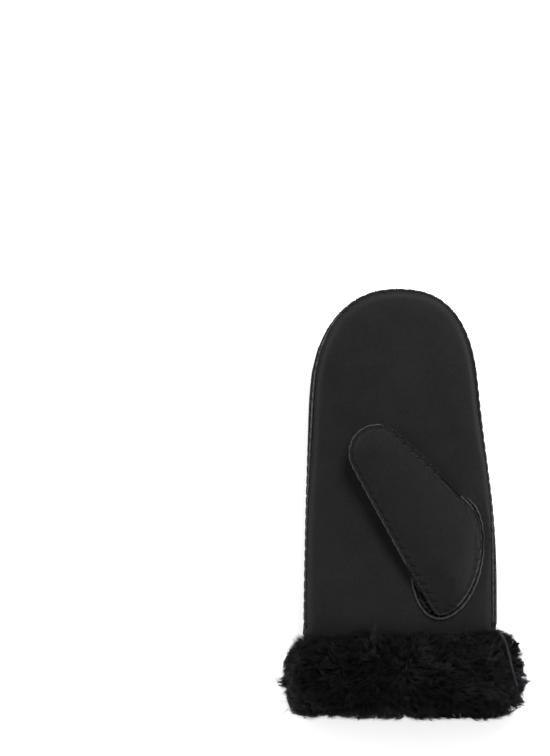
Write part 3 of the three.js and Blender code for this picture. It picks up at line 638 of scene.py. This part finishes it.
def stitch_paths(seams, sizes):
    """Whip stitches: up through a hole, aslant over both raw edges and down half a pitch away. Round
    the thumb hole they go over the thumb's edge only, and down between the two."""
    paths = []
    depth = sizes.stitch_depth
    for seam in seams:
        if seam["step"]:
            continue
        near = drawn_together(seam, sizes)
        a, b, a_in, b_in = seam["a"] + near, seam["b"] - near, seam["a_in"], seam["b_in"]
        across = unit(np.array([b - a]))[0]
        face = across * (LEATHER / 2 + sizes.thread * 0.2)
        lean = seam["along"] * sizes.stitch_pitch / 2
        over = 0.1 * MM
        pull = sizes.pucker
        path = [
            a + a_in * depth + lean + across * 0.6 * MM,
            a + a_in * (depth - 0.3 * MM) + lean * 0.92 - face,
            a + a_in * depth * 0.5 + lean * 0.5 - face,
            a + a_in * pull - face * 0.9 + lean * 0.1,
            (a + b) / 2 + (a_in + b_in) / 2 * (pull - over),
            b + b_in * pull + face * 0.9 - lean * 0.1,
            b + b_in * depth * 0.5 - lean * 0.5 + face,
            b + b_in * (depth - 0.3 * MM) - lean * 0.92 + face,
            b + b_in * depth - lean - across * 0.6 * MM,
        ]
        if at_the_hole(seam):
            between = (a + b) / 2 + (a_in + b_in) / 2 * (pull + 0.4 * MM)
            path = [between + b_in * 2 * MM, between, *path[5:]]
        paths.append(path)
    return paths


# Fur


def drop_islands(mesh):
    """Deletes all but the largest connected piece of a mesh."""
    left, largest = set(mesh.verts), set()
    while left:
        island, edge = set(), [next(iter(left))]
        while edge:
            vert = edge.pop()
            if vert not in island:
                island.add(vert)
                edge += [e.other_vert(vert) for e in vert.link_edges]
        left -= island
        largest = max(largest, island, key=len)
    bmesh.ops.delete(mesh, geom=[v for v in mesh.verts if v not in largest], context="VERTS")


def packed_fleece(node, sizes, material):
    """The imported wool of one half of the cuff: its solid, drawn in by the depth of the locks."""
    mesh = merged_copy(node)
    data = bpy.data.meshes.new(node + "_fleece")
    mesh.to_mesh(data)
    mesh.free()
    packed = show_mesh(node + "_fleece", data, material)
    remesh = packed.modifiers.new("even", "REMESH")
    remesh.mode = "VOXEL"
    remesh.voxel_size = 1.4 * MM
    soften = packed.modifiers.new("soften", "SMOOTH")
    soften.factor, soften.iterations = 0.5, 4
    bpy.context.view_layer.objects.active = packed
    for modifier in ("even", "soften"):
        bpy.ops.object.modifier_apply(modifier=modifier)
    shape = bmesh.new()
    shape.from_mesh(packed.data)
    drop_islands(shape)
    shape.normal_update()
    tree = BVHTree.FromBMesh(shape)
    leather = surface_tree(PANELS)
    drawn = []
    for vert in shape.verts:
        inner = tree.ray_cast(vert.co - vert.normal * 0.2 * MM, -vert.normal)[3] or 0.0
        by = leather.find_nearest(vert.co, 0.004)[3]
        room = 1.0 if by is None else float(smooth((by / MM - 0.8) / 2.2))
        drawn.append(vert.co - vert.normal * min(sizes.lock_depth, inner * 0.3) * room)
    for vert, place in zip(shape.verts, drawn):
        vert.co = place
    for _ in range(3):
        bmesh.ops.smooth_vert(shape, verts=shape.verts, factor=0.5)
    shape.to_mesh(packed.data)
    shape.free()
    packed.data.shade_smooth()
    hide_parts(node)
    return packed


def surface_roots(packed, count, rng):
    """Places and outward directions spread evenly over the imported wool."""
    mesh = bmesh.new()
    mesh.from_mesh(packed.data)
    bmesh.ops.triangulate(mesh, faces=mesh.faces)
    mesh.normal_update()
    corners = np.array([[v.co for v in f.verts] for f in mesh.faces])
    leans = np.array([[v.normal for v in f.verts] for f in mesh.faces])
    areas = np.array([f.calc_area() for f in mesh.faces])
    mesh.free()
    pick = rng.choice(len(areas), count, p=areas / areas.sum())
    u, v = rng.random(count), rng.random(count)
    over = u + v > 1
    u[over], v[over] = 1 - u[over], 1 - v[over]
    shares = np.stack([1 - u - v, u, v], axis=1)[:, :, None]
    return (corners[pick] * shares).sum(1), unit((leans[pick] * shares).sum(1))


def swirl(places, scale, seed):
    """A slowly turning direction for each place."""
    shift = Vector((seed * 3.7, seed * 1.3, seed * 2.1))
    return np.array([noise.noise_vector(Vector(p) / scale + shift) for p in places])


def strand_mesh(places, widths, tones, name):
    """One mesh of three-sided tapering strands, each closed, with its tone as an attribute. Places
    are the strands' roots, bends and tips."""
    count = len(widths)
    along = unit(places[-1] - places[0])
    side = unit(np.cross(along, np.array([0.31, 0.52, 0.79])))
    up = np.cross(along, side)
    rings = []
    for place, share in zip(places[:-1], (0.9, 1.0)):
        for k in range(3):
            turn = 2 * math.pi * k / 3
            spoke = math.cos(turn) * side + math.sin(turn) * up
            rings.append(place + (widths * share)[:, None] / 2 * spoke)
    verts = np.stack(rings + [places[-1]], axis=1).reshape(-1, 3)
    base = np.arange(count)[:, None] * 7
    pattern = [(2, 1, 0)]
    for k in range(3):
        n = (k + 1) % 3
        pattern += [(k, n, 3 + n), (k, 3 + n, 3 + k), (3 + k, 3 + n, 6)]
    faces = np.concatenate([base[:, None, :] + np.array([p]) for p in pattern], axis=1).reshape(-1, 3)
    mesh = bpy.data.meshes.new(name)
    mesh.vertices.add(len(verts))
    mesh.vertices.foreach_set("co", verts.astype(np.float32).ravel())
    mesh.loops.add(len(faces) * 3)
    mesh.loops.foreach_set("vertex_index", faces.astype(np.int32).ravel())
    mesh.polygons.add(len(faces))
    mesh.polygons.foreach_set("loop_start", np.arange(0, len(faces) * 3, 3, dtype=np.int32))
    mesh.update(calc_edges=True)
    shade = mesh.attributes.new("tone", "FLOAT", "POINT")
    # Painted shade at the roots and painted light at the tips: a strand's tone is 0.3 of its own at the
    # root, 0.8 at the bend and all of it at the tip.
    steps = np.repeat([0.3, 0.8, 1.0], [3, 3, 1])
    shade.data.foreach_set("value", (tones[:, None] * steps[None, :]).astype(np.float32).ravel())
    mesh.validate()
    mesh.shade_smooth()
    return mesh


def surface_tree(names):
    """The surfaces of some solids, for finding how near a place is to them."""
    verts, faces = [], []
    for name in names:
        mesh = merged_copy(name)
        mesh.verts.index_update()
        first = len(verts)
        verts += [v.co.copy() for v in mesh.verts]
        faces += [[first + v.index for v in f.verts] for f in mesh.faces]
        mesh.free()
    return BVHTree.FromPolygons(verts, faces)


def clear_of(tree, points, room):
    """Moves points that are in or too near a surface out of it."""
    for i, p in enumerate(points):
        place, normal, _, _ = tree.find_nearest(p, 0.012)
        if place is None:
            continue
        away = Vector(p) - place
        depth = away.dot(normal)
        if depth < room:
            points[i] = np.array(place + (away - normal * depth) * 0.5 + normal * room)
    return points


def kept_within(tree, points, reach):
    """Draws in points that stand more than their reach out of a surface."""
    for i, p in enumerate(points):
        place, normal, _, distance = tree.find_nearest(p)
        away = Vector(p) - place
        if away.dot(normal) > -0.7 * distance and distance > reach[i]:
            points[i] = np.array(place + away * (reach[i] / distance))
    return points


def spaced(points, gap):
    """Indices of points that lie at least a gap apart."""
    cells, chosen = {}, []
    for i, p in enumerate(points):
        key = tuple(int(c) for c in np.floor(p / gap))
        around = (
            other
            for x in (-1, 0, 1)
            for y in (-1, 0, 1)
            for z in (-1, 0, 1)
            for other in cells.get((key[0] + x, key[1] + y, key[2] + z), ())
        )
        if all(np.linalg.norm(p - points[j]) > gap for j in around):
            cells.setdefault(key, []).append(i)
            chosen.append(i)
    return np.array(chosen)


def grown_roots(packed, node, count, rng):
    """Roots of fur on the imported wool, with the wool's outward direction and the distance to the
    leather at each. None are in the split between the two halves, on the leather or on the table."""
    leather = surface_tree(PANELS)
    other = surface_tree([name for name in CUFFS if name != node])
    roots, normals = surface_roots(packed, int(count * 1.6), rng)
    cut = np.array([(other.find_nearest(p, 0.003)[3] or 1.0) for p in roots]) < 1.3 * MM
    to_leather = np.array([(leather.find_nearest(p, 0.006)[3] or 1.0) for p in roots])
    keep = ~(cut | (to_leather < 0.7 * MM) | (roots[:, 2] < 0.4 * MM))
    count = min(keep.sum(), count)
    return roots[keep][:count], normals[keep][:count], to_leather[keep][:count]


def comb_fur(packed, node, strands, layers, seed, sizes):
    """Strands of fur on one half of the cuff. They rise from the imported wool, bend over and lie along
    it, and are drawn together in soft locks. Returns what strand_mesh takes, for each layer."""
    rng = np.random.default_rng(seed)
    roots, normals, to_leather = grown_roots(packed, node, strands * layers, rng)
    count = len(roots)
    middle = mouth_middle()
    inside = np.einsum("ij,ij->i", normals, unit(roots - middle)) < -0.2

    # Combed away from the mouth's middle, in slow swirls. Some locks stand up in tufts, and some
    # hairs stray from their lock.
    chosen = spaced(roots, sizes.lock_spacing)
    locks = point_tree(roots[chosen])
    lock = np.array([locks.find(p)[1] for p in roots])
    leader = chosen[lock]
    stray = rng.random(count) < sizes.strays
    stands = (rng.random(len(chosen)) < sizes.tufts)[lock] | stray
    outwards = unit((roots - middle) * np.array([1.0, 1.6, 0.0]))
    field = outwards * 1.1 + swirl(roots, 15 * MM, seed) * 1.2 + swirl(roots, 6 * MM, seed + 5) * 0.4
    lying = unit(field - normals * np.einsum("ij,ij->i", field, normals)[:, None])
    length = sizes.strand_length * np.where(inside, 0.6, 1.0) * rng.uniform(0.8, 1.15, count)
    free = [roots]
    for low, high in zip(BENDS["lying"], BENDS["standing"]):
        rise, lay = np.where(stands[:, None], high, low).T[:, :, None]
        free.append(free[-1] + unit(normals * rise + lying * lay) * length[:, None] / 2)

    # Drawn together in locks, each strand in part on its own way.
    own = (rng.random(count) * np.where(stands, 0.3, 0.8))[:, None]
    own[stray] = 1.0
    wander = swirl(roots, 3 * MM, seed + 4)
    places = []
    for step, (low, high) in enumerate(zip(GATHERED["lying"], GATHERED["standing"])):
        gather = np.where(stands, high, low)[:, None]
        drawn = free[step][leader] + (roots - roots[leader]) * (1 - gather)
        places.append(drawn + (free[step] - drawn) * own + wander * (0.0, 0.5, 0.7)[step] * MM)
    places[2] += rng.standard_normal(roots.shape) * 0.3 * MM

    # How far each strand reaches out of the solid, in millimetres.
    standing = 0.3 + 2.0 * rng.random(len(chosen))[lock]
    proud = np.where(stands, standing, 0.1 + 2.6 * rng.random(len(chosen))[lock] ** 3)
    proud = np.where(stray, 0.6 + 2.2 * rng.random(count), proud)
    proud = np.where(to_leather < 5 * MM, 0.3 + 3.0 * rng.random(count) ** 1.5, proud)
    clouds = 1.2 * swirl(roots, 8 * MM, seed + 8)[:, 1]
    proud = np.maximum(proud + clouds, 0.1 + 0.9 * rng.random(count)) * MM

    # Loose fur hangs over the leather at the cuff's upper edge, most of all on the left.
    left = smooth((2 * MM - roots[:, 0]) / (30 * MM))
    over = (to_leather < 5 * MM) * rng.random(count) ** 2 * (0.4 + left) * sizes.overhang
    solid, leather = surface_tree([node]), surface_tree(PANELS)
    for step, room in ((1, 0.4), (2, 0.6)):
        places[step] = kept_within(solid, places[step], proud)
        places[step][:, 1] += over * step / 2
        places[step] = clear_of(leather, places[step], room * MM)
    places[0] = roots - normals * 0.8 * MM
    for points in places:
        if node == "cuff_front":
            keep_left_of_seam(points)
        points[:, 2] = np.maximum(points[:, 2], 0.3 * MM)

    # Soft lighter and darker patches. The lower half's strands are painted lighter: painted light on its
    # ends.
    widths = sizes.strand_width * rng.uniform(0.7, 1.3, count)
    cloud = swirl(roots, 11 * MM, seed + 7)[:, 0]
    tones = np.clip(0.5 + 0.9 * cloud + 0.1 * rng.standard_normal(count), 0.03, 1.0) * 0.8
    # Painted light: the lower half's fur is lifted in tone.
    if node == "cuff_back":
        tones = np.clip(tones + 0.45, 0.0, 1.0)
    return [([p[k::layers] for p in places], widths[k::layers], tones[k::layers]) for k in range(layers)]


def mouth_middle():
    """The middle of the opening."""
    low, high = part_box("cuff_back")
    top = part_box("cuff_front")[1]
    return np.array([(low.x + high.x) / 2, (low.y + high.y) / 2, (low.z + top.z) / 2])


def keep_left_of_seam(points):
    """Draws fur of the upper half in behind the cuff's raw seam."""
    seam = np.array(CUFF_SEAM) * MM
    rise = seam[::-1]
    limit = np.interp(points[:, 1], rise[:, 1], rise[:, 0]) - 0.9 * MM
    beside = (points[:, 1] > seam[-1, 1] - 2 * MM) & (points[:, 0] > limit)
    points[beside, 0] = limit[beside]


def cuff_seam_mesh():
    """The two raw edges of the turned-up cuff's side seam: a low strip on the lower half's end."""
    line = np.array(CUFF_SEAM) * MM
    spans = np.linspace(0, len(line) - 1, 60)
    line = np.stack([np.interp(spans, range(len(line)), line[:, k]) for k in range(3)], axis=1)
    for _ in range(4):
        line[1:-1] = (line[:-2] + line[1:-1] * 2 + line[2:]) / 4
    along = unit(np.gradient(line, axis=0) * np.array([1, 1, 0]))
    side = np.cross(along, [0, 0, 1.0])
    waver = np.array([noise.noise(Vector(p) / (3 * MM)) for p in line]) * 0.25 * MM
    base = np.full(len(line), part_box("cuff_front")[0].z - 0.6 * MM)
    section = ((-0.75, None), (-0.75, -0.35), (-0.4, 0.0), (0.4, 0.0), (0.75, -0.35), (0.75, None))
    verts, faces = [], []
    for i, place in enumerate(line):
        for across, drop in section:
            point = place + side[i] * (across * MM + waver[i])
            point[2] = base[i] if drop is None else place[2] + drop * MM + waver[i]
            verts.append(tuple(point))
    n = len(section)
    for i in range(len(line) - 1):
        for k in range(n):
            a, b = i * n + k, i * n + (k + 1) % n
            faces.append((a, b, b + n, a + n))
    faces.append(tuple(range(n))[::-1])
    faces.append(tuple((len(line) - 1) * n + k for k in range(n)))
    mesh = bpy.data.meshes.new("cuff_seam")
    mesh.from_pydata(verts, [], faces)
    tidy = bmesh.new()
    tidy.from_mesh(mesh)
    bmesh.ops.recalc_face_normals(tidy, faces=tidy.faces)
    raw = tidy.verts.layers.float.new("raw_edge")
    for k, vert in enumerate(tidy.verts):
        vert[raw] = CUFF_CUT if section[k % n][1] == 0.0 else 0.0
    tidy.to_mesh(mesh)
    tidy.free()
    return mesh


# Settings


class MittenSizes(bpy.types.PropertyGroup):
    stitch_pitch: bpy.props.FloatProperty(
        name="Stitch pitch", description="From one whip stitch to the next",
        default=6.3 * MM, unit="LENGTH",
    )
    stitch_depth: bpy.props.FloatProperty(
        name="Stitch depth", description="From the raw edge to the stitch holes",
        default=4.2 * MM, unit="LENGTH",
    )
    seam_spacing: bpy.props.FloatProperty(
        name="Seam spacing", description="Between the middles of two sewn raw edges",
        default=2.0 * MM, unit="LENGTH",
    )
    hole_spacing: bpy.props.FloatProperty(
        name="Hole seam spacing", description="Between the edges of palm and thumb",
        default=2.7 * MM, unit="LENGTH",
    )
    thread: bpy.props.FloatProperty(
        name="Thread", description="The thread's diameter",
        default=0.55 * MM, unit="LENGTH",
    )
    pucker: bpy.props.FloatProperty(
        name="Pucker", description="How far each stitch pulls the raw edge in",
        default=0.45 * MM, unit="LENGTH",
    )
    swelling: bpy.props.FloatProperty(
        name="Swelling", description="How far the filled body reaches out over its seam",
        default=2.2 * MM, unit="LENGTH",
    )
    easing: bpy.props.IntProperty(
        name="Easing", description="Rounds of smoothing beside the seams",
        default=120, min=0, max=200,
    )
    leather_levels: bpy.props.IntProperty(
        name="Leather fineness", description="Subdivision levels of the panels",
        default=2, min=1, max=3,
    )
    # Painted shade: how dark the palm is painted beside the cuff, where the fur shades it.
    painted_cuff_shade: bpy.props.FloatProperty(
        name="Shade at the cuff", description="How dark the nap is where the cuff has lain on it",
        default=0.5, min=0.0, max=1.0,
    )
    lock_depth: bpy.props.FloatProperty(
        name="Lock depth", description="From the tips of the fur to its packed wool",
        default=3.6 * MM, unit="LENGTH",
    )
    lock_spacing: bpy.props.FloatProperty(
        name="Lock spacing", description="Least distance between two locks of fur",
        default=1.7 * MM, unit="LENGTH",
    )
    tufts: bpy.props.FloatProperty(
        name="Tufts", description="Share of the locks that stand up",
        default=0.3, min=0.0, max=1.0,
    )
    strays: bpy.props.FloatProperty(
        name="Strays", description="Share of the strands that leave their lock",
        default=0.12, min=0.0, max=1.0,
    )
    strand_length: bpy.props.FloatProperty(
        name="Strand length", description="A strand's length from the packed wool",
        default=11.0 * MM, unit="LENGTH",
    )
    strand_width: bpy.props.FloatProperty(
        name="Strand width", description="A strand of a few hairs, at its root",
        default=0.25 * MM, unit="LENGTH",
    )
    overhang: bpy.props.FloatProperty(
        name="Overhang", description="How far loose fur hangs over the leather",
        default=4 * MM, unit="LENGTH",
    )
    swirl_seed: bpy.props.IntProperty(
        name="Swirls", description="Which swirls the fur lies in",
        default=3, min=1,
    )
    strands_front: bpy.props.IntProperty(
        name="Upper strands", description="In each of the upper half's two layers",
        default=19500, max=19800,
    )
    strands_back: bpy.props.IntProperty(
        name="Lower strands", description="In each of the lower half's two layers",
        default=13500, max=19800,
    )


class MittenColours(bpy.types.PropertyGroup):
    suede: bpy.props.StringProperty(name="Suede", description="sRGB hex", default="#1D1D1D")
    raw_edge: bpy.props.StringProperty(name="Raw edge", description="sRGB hex", default="#58585E")
    thread: bpy.props.StringProperty(name="Thread", description="sRGB hex", default="#0B0B0D")
    fur_root: bpy.props.StringProperty(name="Fur root", description="sRGB hex", default="#050506")
    fur: bpy.props.StringProperty(name="Fur", description="sRGB hex", default="#0E0E10")
    fur_tip: bpy.props.StringProperty(name="Fur tip", description="sRGB hex", default="#2A2A2D")
    fur_pale: bpy.props.StringProperty(name="Pale fur", description="sRGB hex", default="#4C4C50")
    floor: bpy.props.StringProperty(name="Floor", description="sRGB hex", default="#F6F6F6")


# Operators


class MITTEN_OT_leather(bpy.types.Operator):
    """Makes the four suede panels, with puckered seams and pale raw edges"""

    bl_idname = "mitten.leather"
    bl_label = "Leather panels"

    def execute(self, context):
        sizes, colours = context.scene.mitten_sizes, context.scene.mitten_colours
        seams = sewn_seams(sizes)
        suede = suede_material(colours, sizes)
        panels = {name: finish_panel(name, seams, sizes, suede) for name in PANELS}
        show_mesh("cuff_seam", cuff_seam_mesh(), suede)
        return {"FINISHED"}


class MITTEN_OT_stitches(bpy.types.Operator):
    """Sews whip stitches over every outseam"""

    bl_idname = "mitten.stitches"
    bl_label = "Whip stitches"

    def execute(self, context):
        sizes, colours = context.scene.mitten_sizes, context.scene.mitten_colours
        paths = stitch_paths(sewn_seams(sizes), sizes)
        mesh = tubes(paths, sizes.thread / 2, 6, "whip_stitches")
        show_mesh("whip_stitches", mesh, thread_material(colours))
        return {"FINISHED"}


class MITTEN_OT_cuff(bpy.types.Operator):
    """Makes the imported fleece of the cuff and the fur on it"""

    bl_idname = "mitten.cuff"
    bl_label = "Fur cuff"

    def execute(self, context):
        sizes, colours = context.scene.mitten_sizes, context.scene.mitten_colours
        noise.seed_set(sizes.swirl_seed)
        fleece = fleece_material(colours)
        fur = fur_material(colours)
        halves = (("cuff_front", sizes.strands_front, 11), ("cuff_back", sizes.strands_back, 12))
        for node, strands, seed in halves:
            packed = packed_fleece(node, sizes, fleece)
            for k, parts in enumerate(comb_fur(packed, node, strands, 2, seed, sizes)):
                name = f"{node}_fur_{k + 1}"
                show_mesh(name, strand_mesh(*parts, name), fur)
        return {"FINISHED"}


class MITTEN_OT_stage(bpy.types.Operator):
    """Lays the floor and sets the lights and the camera"""

    bl_idname = "mitten.stage"
    bl_label = "Floor, light and camera"

    def execute(self, context):
        scene = context.scene
        material, shader = new_material("matte white floor")
        shader.inputs["Base Color"].default_value = linear(scene.mitten_colours.floor)
        shader.inputs["Roughness"].default_value = 0.9
        shader.inputs["Emission Color"].default_value = (1.0, 1.0, 1.0, 1.0)
        shader.inputs["Emission Strength"].default_value = 0.6  # as white as a light table
        bpy.ops.object.select_all(action="DESELECT")
        bpy.ops.mesh.primitive_plane_add(size=6, location=(0, 0, 0))
        floor = context.active_object
        floor.name = "floor"
        floor.data.materials.append(material)

        world = bpy.data.worlds.new("studio")
        world.use_nodes = True
        world.node_tree.nodes["Background"].inputs["Color"].default_value = (1, 1, 1, 1)
        world.node_tree.nodes["Background"].inputs["Strength"].default_value = 0.5
        scene.world = world
        lamps = (
            ("key", (0.4, 1.0, 1.25), 0.7, 22.0),
            ("fill", (-0.9, 0.3, 1.4), 1.0, 4.0),
        )
        for name, place, size, power in lamps:
            lamp = bpy.data.lights.new(name, "AREA")
            lamp.shape, lamp.size, lamp.energy = "DISK", size, power
            obj = bpy.data.objects.new(name, lamp)
            obj.location = place
            obj.rotation_euler = (-Vector(place)).to_track_quat("-Z", "Y").to_euler()
            scene.collection.objects.link(obj)

        camera = bpy.data.cameras.new("photo_camera")
        camera.sensor_fit = "VERTICAL"
        camera.sensor_height = 24.0
        height = 6.0
        camera.lens = 24.0 * height / (756 * 0.6 * MM)
        camera.clip_end = 50.0
        eye = bpy.data.objects.new("photo_camera", camera)
        eye.location = (-76.8 * MM, 74.4 * MM, height + 0.02)
        scene.collection.objects.link(eye)
        scene.camera = eye
        scene.view_settings.view_transform = "Standard"
        scene.view_settings.look = "None"
        return {"FINISHED"}


class MITTEN_PT_panel(bpy.types.Panel):
    """Lists the mitten's sizes, colours and making steps"""

    bl_label = "Mitten"
    bl_idname = "MITTEN_PT_panel"
    bl_space_type = "VIEW_3D"
    bl_region_type = "UI"
    bl_category = "Mitten"

    def draw(self, context):
        layout = self.layout
        for settings in (context.scene.mitten_sizes, context.scene.mitten_colours):
            for name in settings.__annotations__:
                layout.prop(settings, name)
        for operator in OPERATORS:
            layout.operator(operator.bl_idname)


OPERATORS = (MITTEN_OT_leather, MITTEN_OT_stitches, MITTEN_OT_cuff, MITTEN_OT_stage)
CLASSES = (MittenSizes, MittenColours, *OPERATORS, MITTEN_PT_panel)


def register():
    for cls in CLASSES:
        bpy.utils.register_class(cls)
    bpy.types.Scene.mitten_sizes = bpy.props.PointerProperty(type=MittenSizes)
    bpy.types.Scene.mitten_colours = bpy.props.PointerProperty(type=MittenColours)


def unregister():
    del bpy.types.Scene.mitten_colours
    del bpy.types.Scene.mitten_sizes
    for cls in reversed(CLASSES):
        bpy.utils.unregister_class(cls)


def main():
    register()
    bpy.ops.mitten.leather()
    bpy.ops.mitten.stitches()
    bpy.ops.mitten.cuff()
    bpy.ops.mitten.stage()


if __name__ == "__main__":
    main()
